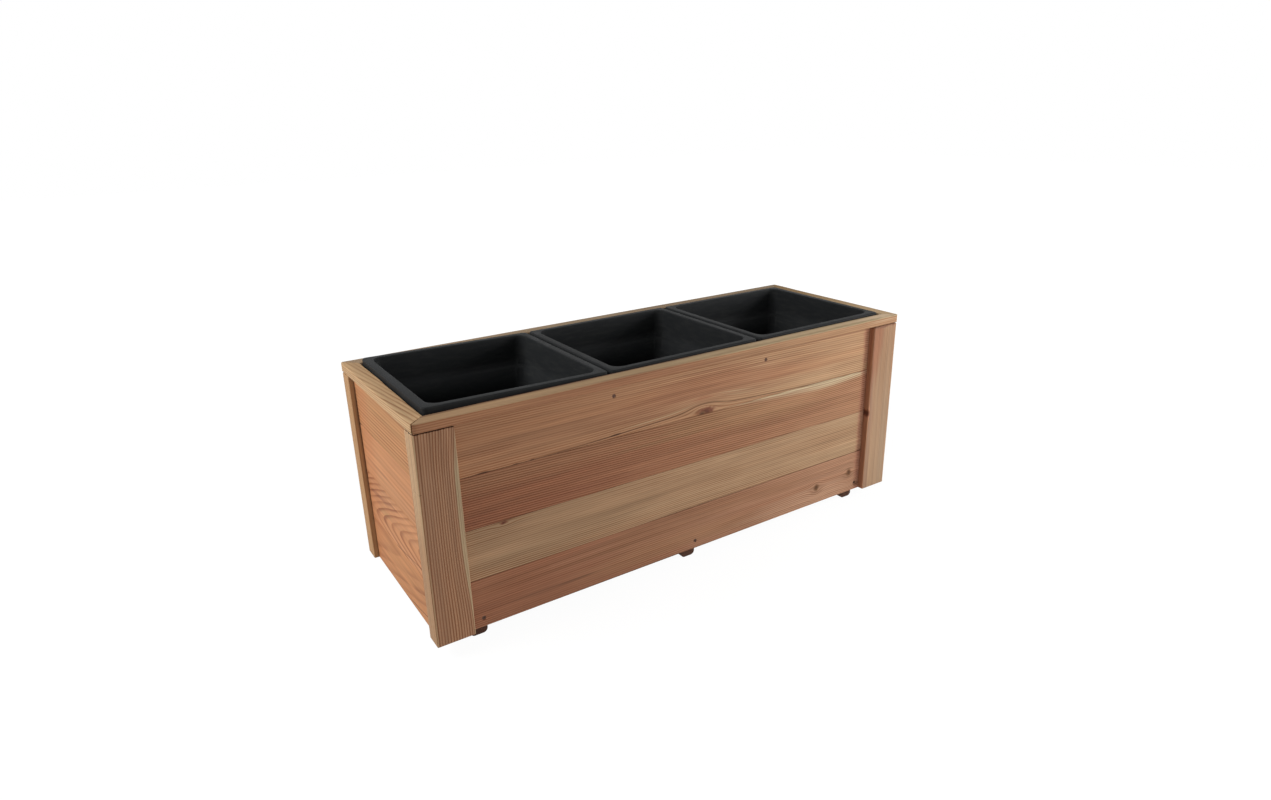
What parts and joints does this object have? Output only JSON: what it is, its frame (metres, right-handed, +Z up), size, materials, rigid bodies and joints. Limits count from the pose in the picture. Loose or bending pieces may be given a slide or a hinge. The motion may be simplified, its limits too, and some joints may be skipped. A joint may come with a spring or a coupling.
{
  "type": "wooden planter box",
  "caption": "Long planter box of tongue-and-groove boards between corner posts, with a mitred cap, cross bearers as feet and lift-out insert pots.",
  "frame": {"origin": "on the ground under the middle of the box", "axes": "+X along the length, to the right of someone who faces the front; +Y from the front wall to the back wall; +Z up"},
  "size_m": [1.002, 0.364, 0.4043],
  "materials": {
    "post_wood": "planed softwood, untreated, matt",
    "board_wood": "planed softwood, untreated, matt",
    "cap_wood": "planed softwood, untreated, matt",
    "hidden_wood": "sawn softwood, untreated, matt",
    "pot_plastic": "moulded, satin, dark grey",
    "screw_steel": "zinc-plated, dull"
  },
  "bodies": {
    "box": {"post_front_left": "post_wood", "post_front_right": "post_wood", "post_back_left": "post_wood", "post_back_right": "post_wood", "front_board_1": "board_wood", "front_board_2": "board_wood", "front_board_3": "board_wood", "front_board_4": "board_wood", "back_board_1": "board_wood", "back_board_2": "board_wood", "back_board_3": "board_wood", "back_board_4": "board_wood", "left_board_1": "board_wood", "left_board_2": "board_wood", "left_board_3": "board_wood", "left_board_4": "board_wood", "right_board_1": "board_wood", "right_board_2": "board_wood", "right_board_3": "board_wood", "right_board_4": "board_wood", "cap_rail_front": "cap_wood", "cap_rail_back": "cap_wood", "cap_rail_left": "cap_wood", "cap_rail_right": "cap_wood", "bearer_left": "hidden_wood", "bearer_middle": "hidden_wood", "bearer_right": "hidden_wood", "cross_rail_1": "hidden_wood", "cross_rail_2": "hidden_wood", "floor_slat_front": "hidden_wood", "floor_slat_middle": "hidden_wood", "floor_slat_back": "hidden_wood", "screw_front_top_1": "screw_steel", "screw_front_top_2": "screw_steel", "screw_front_bottom_1": "screw_steel", "screw_front_bottom_2": "screw_steel", "screw_front_bottom_3": "screw_steel", "screw_back_top_1": "screw_steel", "screw_back_top_2": "screw_steel", "screw_back_bottom_1": "screw_steel", "screw_back_bottom_2": "screw_steel", "screw_back_bottom_3": "screw_steel", "slat_screw_1_1": "screw_steel", "slat_screw_1_2": "screw_steel", "slat_screw_1_3": "screw_steel", "slat_screw_2_1": "screw_steel", "slat_screw_2_2": "screw_steel", "slat_screw_2_3": "screw_steel", "slat_screw_3_1": "screw_steel", "slat_screw_3_2": "screw_steel", "slat_screw_3_3": "screw_steel"},
    "pot_left": {"pot_left": "pot_plastic"},
    "pot_middle": {"pot_middle": "pot_plastic"},
    "pot_right": {"pot_right": "pot_plastic"}
  },
  "joints": [
    {"name": "pot_left_lift", "type": "slide", "parent": "box", "child": "pot_left", "axis": [0, 0, 1], "range_m": [0, 0.35]},
    {"name": "pot_middle_lift", "type": "slide", "parent": "box", "child": "pot_middle", "axis": [0, 0, 1], "range_m": [0, 0.35]},
    {"name": "pot_right_lift", "type": "slide", "parent": "box", "child": "pot_right", "axis": [0, 0, 1], "range_m": [0, 0.35]}
  ]
}
